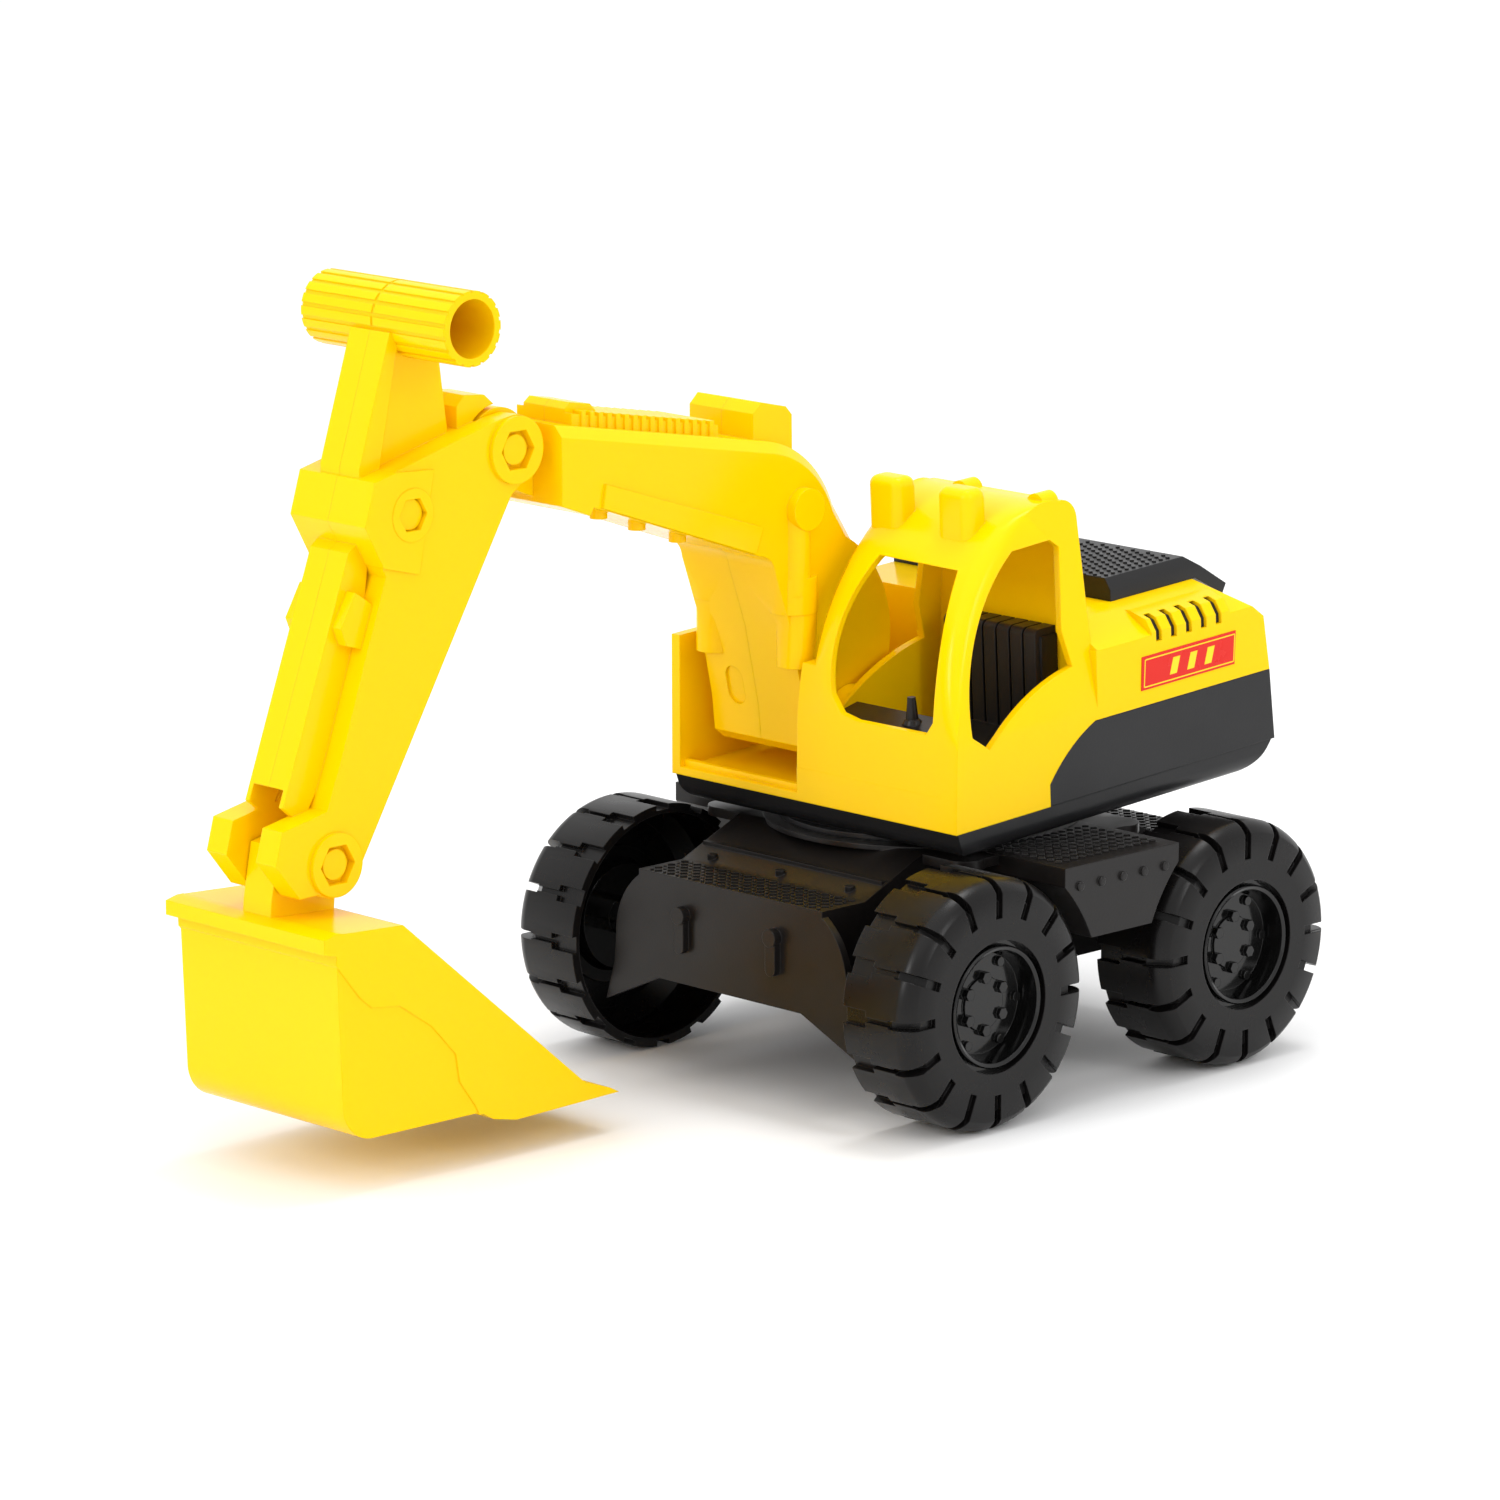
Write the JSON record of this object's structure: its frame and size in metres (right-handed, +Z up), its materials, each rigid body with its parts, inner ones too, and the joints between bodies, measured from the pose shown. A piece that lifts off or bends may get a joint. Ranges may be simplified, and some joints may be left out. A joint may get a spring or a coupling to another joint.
{
  "type": "toy excavator",
  "caption": "Wheeled toy excavator with a turning house, an open cab, a hinged boom and stick with a push handle, and a scoop bucket.",
  "frame": {"origin": "on the ground under the chassis, midway between the two axles, on the chassis centre line", "axes": "+X forwards, from the house towards the bucket; +Y to the driver's left, along the wheel axles; +Z up"},
  "size_m": [0.3475, 0.173, 0.2606],
  "materials": {
    "yellow_gloss": "glossy injection-moulded polypropylene, bright yellow",
    "black_matte": "satin to matte moulded plastic, near black",
    "black_satin": "fine-grained moulded plastic, dark charcoal",
    "black_gloss": "glossy moulded plastic, black",
    "label_red": "printed gloss film label, plain, no lettering",
    "steel": "bright zinc-plated steel"
  },
  "bodies": {
    "chassis": {"chassis_body": "black_matte", "chassis_base_plate": "black_matte", "base_plate_screws": "steel"},
    "front_wheels": {"axle_front": "steel", "tyre_front_left": "black_matte", "rim_front_left": "black_gloss", "tyre_front_right": "black_matte", "rim_front_right": "black_gloss"},
    "rear_wheels": {"axle_rear": "steel", "tyre_rear_left": "black_matte", "rim_rear_left": "black_gloss", "tyre_rear_right": "black_matte", "rim_rear_right": "black_gloss"},
    "house": {"turntable_pan": "black_satin", "swing_washer": "steel", "swing_screw": "steel", "house_shell": "yellow_gloss", "rear_panel": "black_satin", "engine_cover": "black_satin", "driver_seat": "black_matte", "control_console": "black_matte", "vent_backing_left": "black_matte", "vent_backing_right": "black_matte", "label_left": "label_red", "label_right": "label_red", "boom_pivot_pin": "steel"},
    "boom": {"boom_left_shell": "yellow_gloss", "boom_right_shell": "yellow_gloss"},
    "stick": {"stick_left_shell": "yellow_gloss", "stick_right_shell": "yellow_gloss", "stick_pivot_pin": "yellow_gloss", "stick_peg": "yellow_gloss", "bucket_pivot_pin": "yellow_gloss"},
    "bucket": {"bucket": "yellow_gloss"}
  },
  "joints": [
    {"name": "front_axle_spin", "type": "hinge", "parent": "chassis", "child": "front_wheels", "pos_m": [0.0559, 0, 0.039], "axis": [0, 1, 0], "continuous": true},
    {"name": "rear_axle_spin", "type": "hinge", "parent": "chassis", "child": "rear_wheels", "pos_m": [-0.0559, 0, 0.039], "axis": [0, 1, 0], "continuous": true},
    {"name": "house_swing", "type": "hinge", "parent": "chassis", "child": "house", "pos_m": [0, 0, 0.08], "axis": [0, 0, 1], "continuous": true},
    {"name": "boom_lift", "type": "hinge", "parent": "house", "child": "boom", "pos_m": [0.022, -0.0316, 0.11], "axis": [0, -1, 0], "range_deg": [-12, 30]},
    {"name": "stick_swing", "type": "hinge", "parent": "boom", "child": "stick", "pos_m": [0.157, -0.0316, 0.2083], "axis": [0, -1, 0], "range_deg": [-12, 40]},
    {"name": "bucket_curl", "type": "hinge", "parent": "stick", "child": "bucket", "pos_m": [0.2294, -0.0316, 0.0943], "axis": [0, -1, 0], "range_deg": [-60, 20]}
  ]
}
